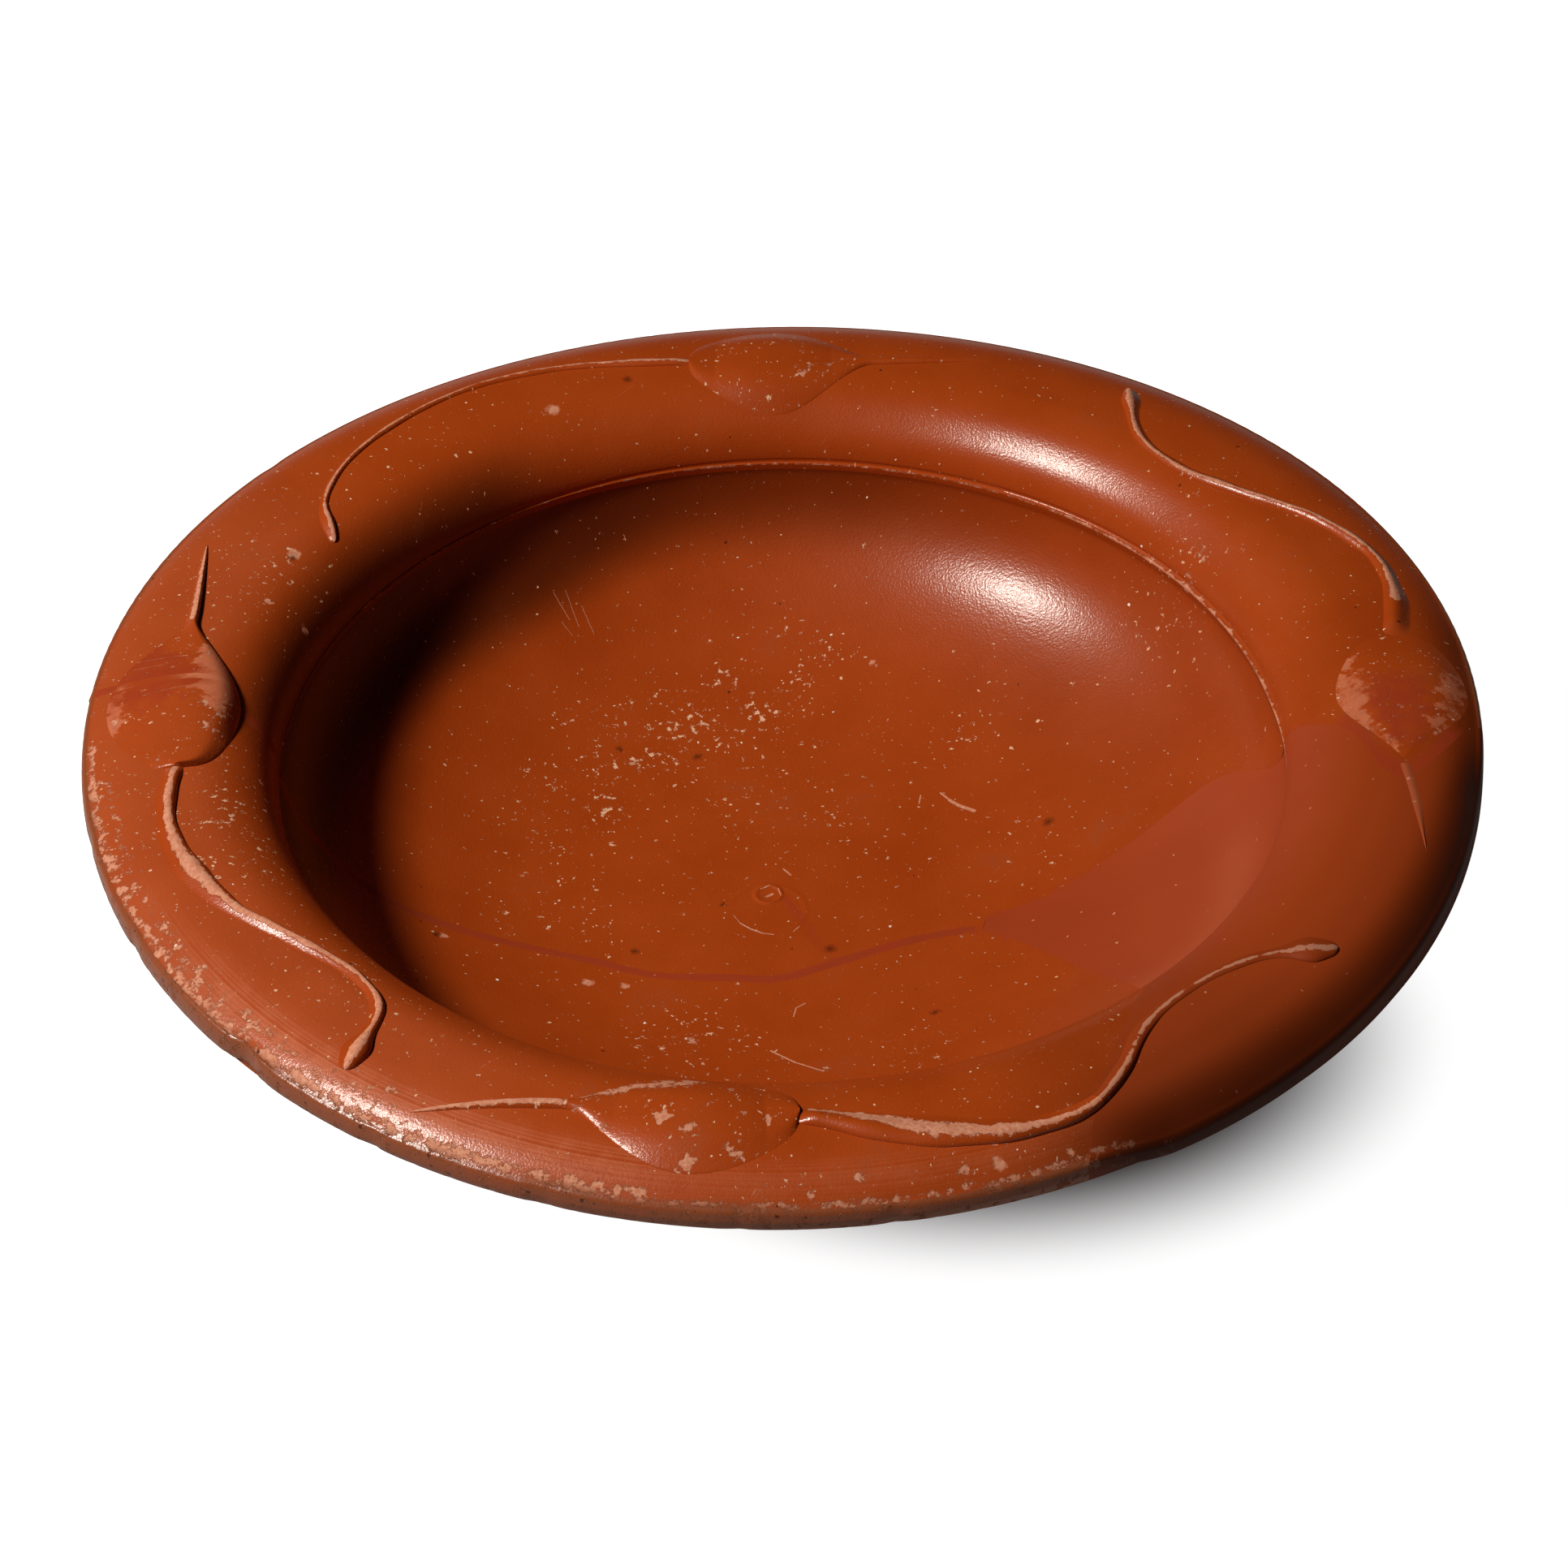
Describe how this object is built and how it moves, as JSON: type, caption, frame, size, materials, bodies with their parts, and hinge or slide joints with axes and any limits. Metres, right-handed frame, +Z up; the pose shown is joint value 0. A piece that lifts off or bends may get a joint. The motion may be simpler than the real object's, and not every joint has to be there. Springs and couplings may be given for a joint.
{
  "type": "red-gloss pottery dish",
  "caption": "Shallow round red-gloss pottery dish on a low foot ring, with a broad rolled rim carrying trailed slip leaves and stems, broken and mended with a plaster fill.",
  "frame": {"origin": "on the dish's axis, at the level of the surface that the foot ring stands on", "axes": "+Z up along the axis, -Y towards the viewer of the picture, +X to the right"},
  "size_m": [0.2, 0.2, 0.0494],
  "materials": {
    "red_gloss": "semi-gloss fired slip",
    "trailed_slip": "worn trailed slip",
    "painted_plaster": "painted plaster, satin",
    "retouch": "painted filler, satin"
  },
  "bodies": {
    "root": {"back_sherd": "red_gloss", "front_sherd": "red_gloss", "plaster_fill": "painted_plaster", "break_filler": "retouch", "foot_ring_back": "red_gloss", "foot_ring_front": "red_gloss", "foot_ring_fill": "painted_plaster", "foot_ring_filler": "retouch", "left_leaf_tip": "trailed_slip", "left_leaf_heel": "trailed_slip", "left_leaf_filler": "retouch", "left_stem": "trailed_slip", "front_leaf": "trailed_slip", "front_stem": "trailed_slip", "front_stem_restored": "painted_plaster", "back_leaf": "trailed_slip", "back_stem": "trailed_slip", "right_leaf": "trailed_slip", "right_leaf_tail_restored": "painted_plaster", "right_stem": "trailed_slip"}
  },
  "joints": []
}
